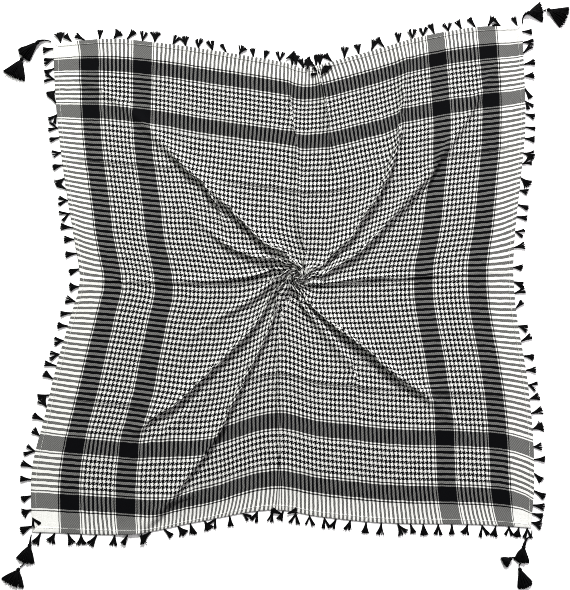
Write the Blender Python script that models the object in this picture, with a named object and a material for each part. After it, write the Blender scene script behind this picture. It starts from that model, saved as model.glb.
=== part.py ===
"""A square woven headscarf that lies flat, with its middle pinched and twisted.

Metres, +Z up. The origin is the middle of the twist, on the surface that the cloth rests on.
+Y runs to the top side of the scarf and +X to its right side.

The cloth is a wall of columns and rings. A column runs outwards from the twist to the hem,
and a ring goes once round the twist. Each fold has its own bundle of columns, so that its
crest and its two feet are edges of the wall. The columns between two folds share out the
gap between them.
"""
import math

import bpy
from mathutils import Vector

# Thicknesses and widths.
CLOTH_THICK = 0.0020
HEM_WIDTH = 0.0120
HEM_THICK = 0.0026
FRINGE_REACH = 0.0240
FRINGE_THICK = 0.0035
# The fringe of a side stops this share of the side short of each corner.
FRINGE_END = 0.015
SEAM_GAP = 0.0003
CORD_DIAMETER = 0.0026
CORD_LIFT = 0.0004

# The corners of the laid scarf, in order round it, against the clock from the top right.
CORNERS = {
    "top_right": (0.546, 0.599),
    "top_left": (-0.566, 0.555),
    "bottom_left": (-0.581, -0.573),
    "bottom_right": (0.534, -0.564),
}
SIDES = ("top", "left", "bottom", "right")

# How far each hem is drawn in from the straight line between its two corners:
# (share of the side from its first corner, depth).
DRAWN_IN = {
    "top": ((0.10, -0.001), (0.21, 0.016), (0.31, 0.043), (0.40, 0.067), (0.47, 0.083),
            (0.51, 0.067), (0.63, 0.038), (0.70, 0.022), (0.79, 0.005), (0.88, -0.007)),
    "left": ((0.15, 0.016), (0.29, 0.041), (0.42, 0.070), (0.50, 0.085), (0.58, 0.065),
             (0.67, 0.040), (0.77, 0.018), (0.88, -0.006)),
    "bottom": ((0.20, -0.006), (0.33, 0.019), (0.48, 0.044), (0.58, 0.028), (0.70, 0.014),
               (0.90, 0.008)),
    "right": ((0.08, -0.009), (0.18, -0.008), (0.29, 0.003), (0.41, 0.024), (0.49, 0.030),
              (0.57, 0.025), (0.70, 0.007), (0.80, -0.004)),
}

# The folds, against the clock from the right. Bearings are in degrees at 0.15, 0.30 and
# 0.50 m from the twist and at the hem, or the name of the corner that the fold points at.
# "start" and "reach" are the radii between which the fold stands up, "crest" is its height
# near the twist, "half" its half width, and "gap_columns" the columns up to the next fold.
FOLDS = (
    # name            b15    b30    b50    hem            start  reach  crest   half    gap
    ("right_crease",  1.3,   1.3,   1.4,   1.4,           0.03,  0.56,  0.0060, 0.009,  3),
    ("right_upper",   26.0,  37.2,  43.0,  "top_right",   0.03,  0.62,  0.0140, 0.013,  1),
    ("top_right",     40.0,  49.8,  61.5,  67.0,          0.03,  0.66,  0.0120, 0.015,  3),
    ("top_tuck",      68.0,  76.0,  85.0,  85.5,          0.33,  0.90,  0.0090, 0.012,  0),
    ("top_crease",    88.0,  89.0,  91.0,  91.5,          0.03,  0.56,  0.0060, 0.009,  6),
    ("left_upper",    126.0, 130.2, 133.0, "top_left",    0.03,  0.66,  0.0140, 0.013,  2),
    ("left_second",   151.5, 145.6, 146.0, 149.0,         0.03,  0.30,  0.0110, 0.012,  5),
    ("left_crease",   181.0, 181.0, 180.6, 180.6,         0.03,  0.56,  0.0070, 0.009,  3),
    ("left_lower",    207.0, 210.0, 211.0, 210.0,         0.03,  0.25,  0.0090, 0.011,  2),
    ("bottom_left",   227.5, 225.9, 224.0, "bottom_left", 0.03,  0.44,  0.0140, 0.013,  0),
    ("bottom_short",  234.0, 232.5, 228.6, 230.0,         0.28,  0.54,  0.0080, 0.010,  1),
    ("bottom_long",   241.5, 242.4, 240.6, 238.0,         0.03,  0.72,  0.0120, 0.013,  3),
    ("bottom_crease", 262.0, 265.5, 267.5, 268.0,         0.03,  0.56,  0.0060, 0.009,  6),
    ("right_short",   306.0, 304.5, 303.0, 301.0,         0.03,  0.27,  0.0090, 0.011,  1),
    ("right_lower",   318.0, 320.2, 319.0, "bottom_right", 0.03, 0.56,  0.0140, 0.013,  6),
)
BEARING_RADII = (0.15, 0.30, 0.50)

# Close to the twist every fold curls round it.
CURL_ANGLE = 60.0
CURL_RADIUS = 0.040

# Rings, as shares of the way from the twist to the hem.
RING_SHARES = (0.0, 0.03, 0.065, 0.11, 0.17, 0.24, 0.32, 0.41, 0.51, 0.62, 0.74, 0.87, 1.0)
INNER_RADIUS = 0.0280
MOST_SLOPE = 1.45

# Places across a fold, as shares of its half width, with the share of its crest height.
ACROSS_FOLD = ((-1.0, 0.0), (-0.5, 0.5), (0.0, 1.0), (0.5, 0.5), (1.0, 0.0))

# The twisted knob, as (radius, height) rings from its foot to its eye.
KNOB_RINGS = ((0.0225, 0.0), (0.0250, 0.0035), (0.0240, 0.0090), (0.0205, 0.0150),
              (0.0150, 0.0200), (0.0080, 0.0225))
KNOB_EYE_HEIGHT = 0.0205
KNOB_SIDES = 36
KNOB_LAYERS = 6
KNOB_LAYER_DEPTH = 0.0012
KNOB_TURN = 110.0

# Corner tassels: the way the cord runs from the hem through the tassels, and each tassel
# from its head to the end of its skirt, with its half width there.
CORNER_CORDS = {
    "top_left": (((-0.5700, 0.5600), (-0.5800, 0.5630), (-0.5910, 0.5625), (-0.6010, 0.5590)),
                 ((-0.6330, 0.5340), (-0.6345, 0.5270), (-0.6350, 0.5210))),
    "top_right": (((0.5480, 0.6045), (0.5470, 0.6130), (0.5500, 0.6220), (0.5560, 0.6285)),
                  ((0.5930, 0.6335), (0.5985, 0.6360), (0.6040, 0.6385))),
    "bottom_left": (((-0.5820, -0.5780), (-0.5835, -0.5860), (-0.5830, -0.5960)),
                    ((-0.5960, -0.6400), (-0.6005, -0.6450), (-0.6055, -0.6485))),
    "bottom_right": (((0.5360, -0.5690), (0.5345, -0.5790), (0.5230, -0.5880),
                      (0.5170, -0.6000)),
                     ((0.5090, -0.6400), (0.5060, -0.6440), (0.5050, -0.6480))),
}
SIDE_LINKS = {
    "bottom_right": ((0.4970, -0.6285), (0.4930, -0.6270), (0.4888, -0.6280)),
}
CORNER_TASSELS = {
    "top_left": (((-0.6020, 0.5580), (-0.6320, 0.5345), 0.0130),
                 ((-0.6355, 0.5200), (-0.6580, 0.4720), 0.0250)),
    "top_right": (((0.5570, 0.6290), (0.5925, 0.6330), 0.0180),
                  ((0.6050, 0.6385), (0.6520, 0.6170), 0.0240)),
    "bottom_left": (((-0.5832, -0.5970), (-0.5950, -0.6390), 0.0180),
                    ((-0.6065, -0.6495), (-0.6220, -0.6880), 0.0240)),
    "bottom_right": (((0.5165, -0.6010), (0.5100, -0.6390), 0.0150),
                     ((0.5048, -0.6490), (0.5200, -0.6930), 0.0150),
                     ((0.4880, -0.6285), (0.4700, -0.6400), 0.0110)),
}
TASSEL_HEAD_HALF = 0.0045
TASSEL_HEIGHT = 0.0090
# Sections of a tassel: (share of its length, share of the way from head width to skirt
# width, share of its height).
TASSEL_SECTIONS = ((0.0, 0.0, 0.55), (0.12, 0.10, 0.90), (0.24, 0.0, 0.70),
                   (0.60, 0.62, 1.0), (1.0, 1.0, 0.75))
TASSEL_ARCH_POINTS = 7

BLACK = (0.012, 0.012, 0.014)
OFF_WHITE = (0.780, 0.790, 0.740)
WEAVE_GREY = (0.300, 0.300, 0.290)


def clear_scene():
    for item in list(bpy.data.objects):
        bpy.data.objects.remove(item, do_unlink=True)


def make_material(name, colour, roughness):
    material = bpy.data.materials.new(name)
    material.use_nodes = True
    shader = material.node_tree.nodes["Principled BSDF"]
    shader.inputs["Base Color"].default_value = (*colour, 1.0)
    shader.inputs["Roughness"].default_value = roughness
    shader.inputs["Metallic"].default_value = 0.0
    return material


def make_object(name, points, faces, material):
    mesh = bpy.data.meshes.new(name)
    mesh.from_pydata(points, [], faces)
    mesh.materials.append(material)
    thing = bpy.data.objects.new(name, mesh)
    bpy.context.collection.objects.link(thing)
    return thing


def smooth_steps(rows, place):
    """Read a table of (place, value) rows with a smooth cubic."""
    if place <= rows[0][0]:
        return rows[0][1]
    if place >= rows[-1][0]:
        return rows[-1][1]
    slopes = []
    for i in range(len(rows)):
        low, high = rows[max(i - 1, 0)], rows[min(i + 1, len(rows) - 1)]
        slopes.append((high[1] - low[1]) / (high[0] - low[0]))
    i = 0
    while rows[i + 1][0] < place:
        i += 1
    (x0, y0), (x1, y1) = rows[i], rows[i + 1]
    span = x1 - x0
    t = (place - x0) / span
    return ((2 * t**3 - 3 * t**2 + 1) * y0 + (t**3 - 2 * t**2 + t) * span * slopes[i]
            + (3 * t**2 - 2 * t**3) * y1 + (t**3 - t**2) * span * slopes[i + 1])


def corner_point(index, inset):
    """Corner of the outline moved in from both sides that meet there."""
    names = list(CORNERS)
    here = Vector(CORNERS[names[index % 4]])
    before = Vector(CORNERS[names[(index - 1) % 4]])
    after = Vector(CORNERS[names[(index + 1) % 4]])
    inward = [inward_normal(before, here), inward_normal(here, after)]
    share = inset / (1.0 + inward[0].dot(inward[1]))
    return here + (inward[0] + inward[1]) * share


def inward_normal(start, end):
    along = (end - start).normalized()
    return Vector((-along.y, along.x))


def outline_point(place, inset):
    """Point of the hem line at a place from 0 to 4: the side's number and the share of it."""
    side = int(math.floor(place)) % 4
    share = place - math.floor(place)
    start, end = corner_point(side, inset), corner_point(side + 1, inset)
    rows = ((0.0, 0.0),) + DRAWN_IN[SIDES[side]] + ((1.0, 0.0),)
    return start.lerp(end, share) + inward_normal(start, end) * smooth_steps(rows, share)


def bearing_of(point):
    return math.degrees(math.atan2(point.y, point.x)) % 360.0


def place_at_bearing(bearing, inset):
    """Place on the outline that lies at a bearing, by halving the side it is on."""
    first = bearing_of(corner_point(0, inset))
    turn = (bearing - first) % 360.0
    low, high = 0.0, 4.0
    for _ in range(40):
        middle = (low + high) / 2
        if (bearing_of(outline_point(middle, inset)) - first) % 360.0 < turn:
            low = middle
        else:
            high = middle
    return low


class Fold:
    """One fold: where it runs, and how wide and high it is at any distance."""

    def __init__(self, row):
        (self.name, b15, b30, b50, hem, self.start, self.reach, self.crest, self.half,
         self.gap_columns) = row
        inset = HEM_WIDTH + SEAM_GAP
        if hem in CORNERS:
            self.place = float(list(CORNERS).index(hem))
        else:
            self.place = place_at_bearing(hem, inset)
        end = outline_point(self.place, inset)
        self.end_radius = end.length
        rows = [(0.15, b15), (0.30, b30)]
        if self.end_radius > BEARING_RADII[-1] + 0.04:
            rows.append((0.50, b50))
        end_bearing = bearing_of(end)
        rows.append((self.end_radius, end_bearing + 360.0 * round((b50 - end_bearing) / 360.0)))
        self.rows = tuple(rows)

    def bearing(self, radius):
        return smooth_steps(self.rows, radius)

    def half_width(self, radius):
        return self.half * min(1.0, 0.22 + radius / 0.16)

    def height(self, radius):
        if radius >= self.reach or radius < self.start:
            return 0.0
        share = (radius - self.start) / (self.reach - self.start)
        rise = min(1.0, share / 0.05) if self.start > 0.1 else 1.0
        return self.crest * rise * (1.0 - share) ** 0.8


def curl(radius):
    return -CURL_ANGLE * math.exp(-radius / CURL_RADIUS)


def ring_columns(folds, share):
    """Columns of one ring, as (bearing, place on the outline, lift), a bundle for each fold."""
    inset = HEM_WIDTH + SEAM_GAP
    side_length = (corner_point(0, inset) - corner_point(1, inset)).length
    count = len(folds)
    feet = []
    for k, fold in enumerate(folds):
        radius = INNER_RADIUS + (fold.end_radius - INNER_RADIUS) * share
        here = fold.bearing(radius)
        after = folds[(k + 1) % count].bearing(radius) + (360.0 if k == count - 1 else 0.0)
        before = folds[k - 1].bearing(radius) - (360.0 if k == 0 else 0.0)
        room = math.radians(min(after - here, here - before)) * radius * 0.40
        feet.append((here, min(fold.half_width(radius), room), radius))
    points = []
    for k, fold in enumerate(folds):
        here, half, radius = feet[k]
        height = min(fold.height(radius), half * MOST_SLOPE)
        for across, lift in ACROSS_FOLD:
            inner = here + math.degrees(across * half / radius)
            place = fold.place + across * half / side_length
            points.append((inner, place, lift * height))
        after, after_half, after_radius = feet[(k + 1) % count]
        next_place = folds[(k + 1) % count].place
        if k == count - 1:
            after += 360.0
        next_place += 4.0 * (next_place < fold.place)
        start = here + math.degrees(half / radius)
        stop = after - math.degrees(after_half / after_radius)
        start_place = fold.place + half / side_length
        stop_place = next_place - after_half / side_length
        for i in range(fold.gap_columns):
            t = (i + 1) / (fold.gap_columns + 1)
            points.append((start + (stop - start) * t,
                           start_place + (stop_place - start_place) * t, 0.0))
    return points


def column_point(bearing, place, share, lift):
    """Point of a column: by its bearing near the twist, by its place on the outline at the hem."""
    end = outline_point(place % 4.0, HEM_WIDTH + SEAM_GAP)
    radius = INNER_RADIUS + (end.length - INNER_RADIUS) * share
    end_bearing = bearing_of(end)
    end_bearing += 360.0 * round((bearing - end_bearing) / 360.0)
    blend = share ** 3
    angle = math.radians(bearing * (1.0 - blend) + end_bearing * blend + curl(radius))
    if share == 1.0:
        return end.x, end.y, lift
    return radius * math.cos(angle), radius * math.sin(angle), lift


def wall_faces(rows, columns, closed):
    """Faces of a wall whose points are its top rows and then its bottom rows."""
    bottom = rows * columns
    faces = []
    last = columns if closed else columns - 1
    for r in range(rows - 1):
        for c in range(last):
            a, b = r * columns + c, r * columns + (c + 1) % columns
            d, e = a + columns, b + columns
            faces += [(a, d, e), (a, e, b)]
            faces += [(bottom + a, bottom + e, bottom + d), (bottom + a, bottom + b, bottom + e)]
    for c in range(last):
        a, b = c, (c + 1) % columns
        faces += [(a, b, bottom + b), (a, bottom + b, bottom + a)]
        a, b = (rows - 1) * columns + a, (rows - 1) * columns + b
        faces += [(a, bottom + b, b), (a, bottom + a, bottom + b)]
    if not closed:
        for r in range(rows - 1):
            a, b = r * columns, (r + 1) * columns
            faces += [(a, bottom + a, bottom + b), (a, bottom + b, b)]
            a, b = a + columns - 1, b + columns - 1
            faces += [(a, bottom + b, bottom + a), (a, b, bottom + b)]
    return faces


def make_cloth(folds, material):
    """Build the cloth wall, and return the (place, lift) of each column at the hem."""
    rings = []
    for share in RING_SHARES:
        ring = ring_columns(folds, share)
        rings.append([column_point(bearing, place, share, lift) for bearing, place, lift in ring])
    columns = len(rings[0])
    top = [(x, y, lift + CLOTH_THICK) for ring in rings for x, y, lift in ring]
    bottom = [(x, y, lift) for ring in rings for x, y, lift in ring]
    make_object("cloth", top + bottom, wall_faces(len(rings), columns, True), material)
    return [(place, lift) for _, place, lift in ring]


def edge_places(outer_ring, side):
    """Places and lifts of the wall's outer columns along one side, from corner to corner."""
    places = sorted((place % 4.0, lift) for place, lift in outer_ring)
    kept = [(place, lift) for place, lift in places if side <= place < side + 1.0]
    after = [lift for place, lift in places if place == (side + 1.0) % 4.0]
    return kept + [(side + 1.0, after[0])]


def make_strip(name, rows, thick, material):
    """Strip of one wall between two rows of points."""
    columns = len(rows[0])
    lower = [point for row in rows for point in row]
    upper = [(x, y, lift + thick) for x, y, lift in lower]
    make_object(name, upper + lower, wall_faces(2, columns, False), material)


def make_hem(name, outer_ring, side, material):
    """Turned hem along one side, mitred at its corners."""
    side_length = (corner_point(side, 0.0) - corner_point(side + 1, 0.0)).length
    end_gap = SEAM_GAP / side_length
    rows = [[], []]
    for place, lift in edge_places(outer_ring, side):
        share = min(max(place - side, end_gap), 1.0 - end_gap)
        for row, inset in zip(rows, (HEM_WIDTH, 0.0)):
            point = outline_point(side + share, inset)
            row.append((point.x, point.y, lift))
    make_strip(name, rows, HEM_THICK, material)


def make_fringe(name, outer_ring, side, material):
    """Plain strip of the reach of one side's small tassels, square at its ends."""
    outward = -inward_normal(corner_point(side, 0.0), corner_point(side + 1, 0.0))
    rows = [[], []]
    for place, lift in edge_places(outer_ring, side):
        share = min(max(place - side, FRINGE_END), 1.0 - FRINGE_END)
        edge = outline_point(side + share, -SEAM_GAP)
        for row, reach in zip(rows, (0.0, FRINGE_REACH)):
            point = edge + outward * reach
            row.append((point.x, point.y, lift))
    make_strip(name, rows, FRINGE_THICK, material)


def make_knob(material):
    points = []
    sides = KNOB_SIDES
    top = KNOB_RINGS[-1][1]
    for radius, height in KNOB_RINGS:
        for i in range(sides):
            angle = 2 * math.pi * i / sides
            turn = math.radians(KNOB_TURN) * height / top
            layer = abs(math.sin(KNOB_LAYERS * (angle + turn) / 2))
            reach = radius - KNOB_LAYER_DEPTH * (1.0 - layer)
            points.append((reach * math.cos(angle), reach * math.sin(angle), height))
    foot, eye = len(points), len(points) + 1
    points += [(0.0, 0.0, 0.0), (0.0, 0.0, KNOB_EYE_HEIGHT)]
    faces = []
    for r in range(len(KNOB_RINGS) - 1):
        for i in range(sides):
            a, b = r * sides + i, r * sides + (i + 1) % sides
            faces += [(a, b, b + sides), (a, b + sides, a + sides)]
    last = (len(KNOB_RINGS) - 1) * sides
    for i in range(sides):
        j = (i + 1) % sides
        faces += [(foot, j, i), (eye, last + i, last + j)]
    make_object("twist_knob", points, faces, material)


def make_tassel(name, row, material):
    """Tassel lying on the surface: arched sections with a flat foot, from head to skirt."""
    head, end, skirt_half = row
    head, end = Vector(head), Vector(end)
    along = (end - head).normalized()
    across = Vector((-along.y, along.x))
    points = []
    count = TASSEL_ARCH_POINTS
    for share, widen, tall in TASSEL_SECTIONS:
        middle = head.lerp(end, share)
        half = TASSEL_HEAD_HALF + (skirt_half - TASSEL_HEAD_HALF) * widen
        for i in range(count):
            angle = math.pi * i / (count - 1)
            spot = middle + across * half * math.cos(angle)
            points.append((spot.x, spot.y, TASSEL_HEIGHT * tall * math.sin(angle)))
    faces = []
    for r in range(len(TASSEL_SECTIONS) - 1):
        for i in range(count):
            a, b = r * count + i, r * count + (i + 1) % count
            faces += [(a, b + count, a + count), (a, b, b + count)]
    last = (len(TASSEL_SECTIONS) - 1) * count
    faces.append(tuple(reversed(range(count))))
    faces.append(tuple(last + i for i in range(count)))
    make_object(name, points, faces, material)


def make_cord(name, route, material):
    curve = bpy.data.curves.new(name, "CURVE")
    curve.dimensions = "3D"
    curve.bevel_depth = CORD_DIAMETER / 2
    curve.bevel_resolution = 2
    curve.use_fill_caps = True
    spline = curve.splines.new("POLY")
    steps = max(3, round(sum((Vector(b) - Vector(a)).length for a, b in zip(route, route[1:]))
                         / (2.5 * CORD_DIAMETER)))
    across = [(i / (len(route) - 1), point) for i, point in enumerate(route)]
    rows = [[(t, point[axis]) for t, point in across] for axis in (0, 1)]
    spline.points.add(steps)
    for i in range(steps + 1):
        x, y = (smooth_steps(row, i / steps) for row in rows)
        spline.points[i].co = (x, y, CORD_DIAMETER / 2 + CORD_LIFT, 1.0)
    curve.materials.append(material)
    thing = bpy.data.objects.new(name, curve)
    bpy.context.collection.objects.link(thing)


def make_corners(material):
    for corner, routes in CORNER_CORDS.items():
        for letter, route in zip("ab", routes):
            make_cord(f"cord_{corner}_{letter}", route, material)
        for number, row in enumerate(CORNER_TASSELS[corner], start=1):
            make_tassel(f"tassel_{corner}_{number}", row, material)
    for corner, route in SIDE_LINKS.items():
        make_cord(f"cord_{corner}_c", route, material)


def main():
    clear_scene()
    weave = make_material("cotton_weave", WEAVE_GREY, 0.92)
    white = make_material("cotton_hem", OFF_WHITE, 0.90)
    black = make_material("black_cotton_yarn", BLACK, 0.85)
    folds = [Fold(row) for row in FOLDS]
    outer_ring = make_cloth(folds, weave)
    make_knob(weave)
    for side, name in enumerate(SIDES):
        make_hem(f"hem_{name}", outer_ring, side, white)
        make_fringe(f"fringe_{name}", outer_ring, side, black)
    make_corners(black)


main()
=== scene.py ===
"""Looks of the headscarf: one woven cloth, pinched and twisted at its middle and laid flat.

The cloth is worked out in three steps. place_cloth() gathers the flat cloth into the named
folds of the CAD solid. relax() then lets its threads find their own length, with the
twist, the crests and the hems held near their places. Last, wind_pleats(), settle_hems(),
smooth_corner() and press_creases() shape the knob, the hems, the corners and the creases by
rule, and do not keep the threads to length.
"""
import math

import bpy
import numpy as np
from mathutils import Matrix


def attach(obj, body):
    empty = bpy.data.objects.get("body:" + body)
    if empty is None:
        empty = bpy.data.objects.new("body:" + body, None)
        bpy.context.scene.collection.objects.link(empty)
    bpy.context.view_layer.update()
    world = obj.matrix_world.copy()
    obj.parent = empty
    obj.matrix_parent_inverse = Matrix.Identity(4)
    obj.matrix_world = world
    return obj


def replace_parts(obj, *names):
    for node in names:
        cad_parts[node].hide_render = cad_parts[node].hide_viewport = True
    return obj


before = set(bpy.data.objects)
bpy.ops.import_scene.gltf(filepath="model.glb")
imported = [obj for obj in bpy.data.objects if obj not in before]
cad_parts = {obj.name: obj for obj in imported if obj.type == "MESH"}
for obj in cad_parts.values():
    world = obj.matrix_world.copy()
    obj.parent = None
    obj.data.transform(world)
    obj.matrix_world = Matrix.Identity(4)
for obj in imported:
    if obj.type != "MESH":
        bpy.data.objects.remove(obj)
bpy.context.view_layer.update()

CORNER_NAMES = ("top_right", "top_left", "bottom_left", "bottom_right")
SIDES = ("top", "left", "bottom", "right")

# The flat cloth: warp ends run up it, weft picks across it. Metres.
END = 0.0012
PICK = 0.0015625
HALF_ENDS = 496
HALF_PICKS = 384
HALF_U = HALF_ENDS * END
HALF_V = HALF_PICKS * PICK
FLAT_SIZE = (2 * HALF_U, 2 * HALF_V)

# The outline of the laid cloth, as in the CAD solid: corners from the top right, against the
# clock, and how far each side is drawn in, as (share of the side, depth).
CORNERS = ((0.546, 0.599), (-0.566, 0.555), (-0.581, -0.573), (0.534, -0.564))
DRAWN_IN = (
    ((0.10, -0.001), (0.21, 0.016), (0.31, 0.043), (0.40, 0.067), (0.47, 0.083),
     (0.51, 0.067), (0.63, 0.038), (0.70, 0.022), (0.79, 0.005), (0.88, -0.007)),
    ((0.15, 0.016), (0.29, 0.041), (0.42, 0.070), (0.50, 0.085), (0.58, 0.065),
     (0.67, 0.040), (0.77, 0.018), (0.88, -0.006)),
    ((0.20, -0.006), (0.33, 0.019), (0.48, 0.044), (0.58, 0.028), (0.70, 0.014),
     (0.90, 0.008)),
    ((0.08, -0.009), (0.18, -0.008), (0.29, 0.003), (0.41, 0.024), (0.49, 0.030),
     (0.57, 0.025), (0.70, 0.007), (0.80, -0.004)),
)

# The folds, against the clock from the right: bearings in degrees at 0.15, 0.30, 0.50 and
# 0.66 m from the twist, the radii where a fold starts and ends, its share of the cloth that
# is gathered up, and how far its crest leans over, clockwise, in degrees.
FOLDS = (
    # name            b15    b30    b50    b66    start reach share lean
    ("right_crease",  1.3,   1.3,   1.4,   1.4,   0.00, 0.60, 0.24, 34.0),
    ("right_upper",   26.0,  37.2,  43.0,  47.6,  0.00, 0.66, 1.20, 52.0),
    ("top_right",     40.0,  49.8,  61.5,  67.0,  0.00, 0.90, 1.05, 44.0),
    ("top_tuck",      68.0,  76.0,  84.0,  87.0,  0.30, 0.95, 1.50, 62.0),
    ("top_crease",    88.0,  89.0,  91.0,  91.5,  0.00, 0.60, 0.35, 30.0),
    ("left_upper",    126.0, 130.2, 133.0, 135.6, 0.00, 0.66, 1.10, -52.0),
    ("left_second",   151.5, 145.6, 146.0, 149.0, 0.00, 0.32, 0.50, -46.0),
    ("left_crease",   181.0, 181.0, 180.6, 180.6, 0.00, 0.60, 0.26, -38.0),
    ("left_lower",    207.0, 210.0, 211.0, 210.0, 0.00, 0.28, 0.50, -44.0),
    ("bottom_left",   227.5, 225.9, 224.0, 224.6, 0.00, 0.50, 1.25, -52.0),
    ("bottom_short",  234.0, 232.5, 228.6, 230.0, 0.26, 0.56, 0.40, -42.0),
    ("bottom_long",   241.5, 242.4, 240.6, 238.0, 0.00, 0.80, 1.15, -48.0),
    ("bottom_crease", 262.0, 265.5, 267.5, 268.0, 0.00, 0.60, 0.35, 30.0),
    ("right_short",   306.0, 304.5, 303.0, 301.0, 0.00, 0.28, 0.60, 46.0),
    ("right_lower",   318.0, 320.2, 319.0, 313.4, 0.00, 0.60, 1.10, 55.0),
)
BEARING_RADII = (0.15, 0.30, 0.50, 0.66)
START, REACH, SHARE, LEAN = 5, 6, 7, 8

# The twist: how much cloth it draws in, how sharply, and how it curls round.
DRAW = 0.080
DRAW_SOFTNESS = 0.016
CURLS = ((75.0, 0.036), (190.0, 0.015))
TWIST_LEAN = 58.0
KNOB_HEIGHT = 0.015
KNOB_RADIUS = 0.021
EYE_DEPTH = 0.009
EYE_RADIUS = 0.0045

# The mesh of the cloth, finer towards the twist.
FINE_STEP = 0.0030
COARSE_STEP = 0.0074
FINE_REACH = 0.070
GRADE_REACH = 0.130

CLOTH_THICK = 0.0005
HEM_WIDTH = 0.0130
HEM_THICK = 0.0015
HEM_LIFT = 0.0008
RESTING_HEIGHT = 0.0001

# Cords and tassels at the corners, as in the CAD model: the stretches of cord that show, and
# each tassel from its head to the end of its skirt, with its half width there.
CORD_DIAMETER = 0.0026
CORD_LIFT = 0.0004
CORNER_CORDS = {
    "top_left": (((-0.5700, 0.5600), (-0.5800, 0.5630), (-0.5910, 0.5625), (-0.6010, 0.5590)),
                 ((-0.6330, 0.5340), (-0.6345, 0.5270), (-0.6350, 0.5210))),
    "top_right": (((0.5480, 0.6045), (0.5470, 0.6130), (0.5500, 0.6220), (0.5560, 0.6285)),
                  ((0.5930, 0.6335), (0.5985, 0.6360), (0.6040, 0.6385))),
    "bottom_left": (((-0.5820, -0.5780), (-0.5835, -0.5860), (-0.5830, -0.5960)),
                    ((-0.5960, -0.6400), (-0.6005, -0.6450), (-0.6055, -0.6485))),
    "bottom_right": (((0.5360, -0.5690), (0.5345, -0.5790), (0.5230, -0.5880),
                      (0.5170, -0.6000)),
                     ((0.5090, -0.6400), (0.5060, -0.6440), (0.5050, -0.6480))),
}
SIDE_LINKS = {
    "bottom_right": ((0.5150, -0.6130), (0.5110, -0.6210), (0.5045, -0.6265), (0.4970, -0.6285),
                     (0.4930, -0.6270), (0.4888, -0.6280)),
}
CORNER_TASSELS = {
    "top_left": (((-0.5985, 0.5600), (-0.6375, 0.5230), 0.0170),
                 ((-0.6355, 0.5200), (-0.6580, 0.4720), 0.0250)),
    "top_right": (((0.5570, 0.6290), (0.5960, 0.6330), 0.0210),
                  ((0.6050, 0.6385), (0.6520, 0.6170), 0.0240)),
    "bottom_left": (((-0.5832, -0.5970), (-0.5950, -0.6390), 0.0180),
                    ((-0.6065, -0.6495), (-0.6220, -0.6880), 0.0240)),
    "bottom_right": (((0.5165, -0.6010), (0.5100, -0.6390), 0.0150),
                     ((0.5048, -0.6490), (0.5200, -0.6930), 0.0150),
                     ((0.4880, -0.6285), (0.4700, -0.6400), 0.0110)),
}

draws = np.random.default_rng(7)


# ---------------------------------------------------------------- camera, floor and lights

CAMERA_DISTANCE = 1.9
CAMERA_TILT = math.radians(5.6)
SENSOR = 36.0
# The focal length and the shifts of the picture, as shares of the frame's width.
FOCAL_WIDTHS = 1.4474
SHIFT_ASIDE = -0.01228
SHIFT_UP = -0.03158


def make_camera():
    data = bpy.data.cameras.new("camera")
    data.sensor_fit = "HORIZONTAL"
    data.sensor_width = SENSOR
    data.lens = SENSOR * FOCAL_WIDTHS
    data.shift_x = SHIFT_ASIDE
    data.shift_y = SHIFT_UP
    camera = bpy.data.objects.new("camera", data)
    camera.location = (0.0, -CAMERA_DISTANCE * math.sin(CAMERA_TILT),
                       CAMERA_DISTANCE * math.cos(CAMERA_TILT))
    camera.rotation_euler = (CAMERA_TILT, 0.0, 0.0)
    bpy.context.collection.objects.link(camera)
    bpy.context.scene.camera = camera


def add_area_light(name, place, aim, size, energy, colour):
    data = bpy.data.lights.new(name, "AREA")
    data.shape = "DISK"
    data.size = size
    data.energy = energy
    data.color = colour
    light = bpy.data.objects.new(name, data)
    light.location = place
    away = np.array(place) - np.array(aim)
    yaw = math.atan2(away[0], -away[1])
    tilt = math.atan2(math.hypot(away[0], away[1]), away[2])
    light.rotation_euler = (tilt, 0.0, yaw)
    bpy.context.collection.objects.link(light)


def make_lights():
    middle = (0.0, 0.0, 0.0)
    add_area_light("key_light", (0.4, 10.9, 6.0), middle, 2.2, 3350.0, (1.0, 1.0, 1.0))
    add_area_light("left_light", (-2.0, 0.5, 1.0), (-0.5, 0.2, 0.0), 1.0, 10.0, (0.97, 1.0, 0.90))
    add_area_light("right_light", (2.4, 0.2, 1.8), (0.3, 0.0, 0.0), 1.6, 34.0, (1.0, 0.95, 1.0))
    world = bpy.data.worlds.new("studio")
    world.use_nodes = True
    background = world.node_tree.nodes["Background"]
    background.inputs["Color"].default_value = (1.0, 1.0, 1.0, 1.0)
    background.inputs["Strength"].default_value = 0.25
    bpy.context.scene.world = world
    bpy.context.scene.view_settings.view_transform = "Standard"
    # The threads are finer than a pixel: a narrow filter and no denoising keep the check crisp.
    bpy.context.scene.cycles.filter_width = 0.9
    bpy.context.scene.cycles.use_denoising = False


# ---------------------------------------------------------------- materials

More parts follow.
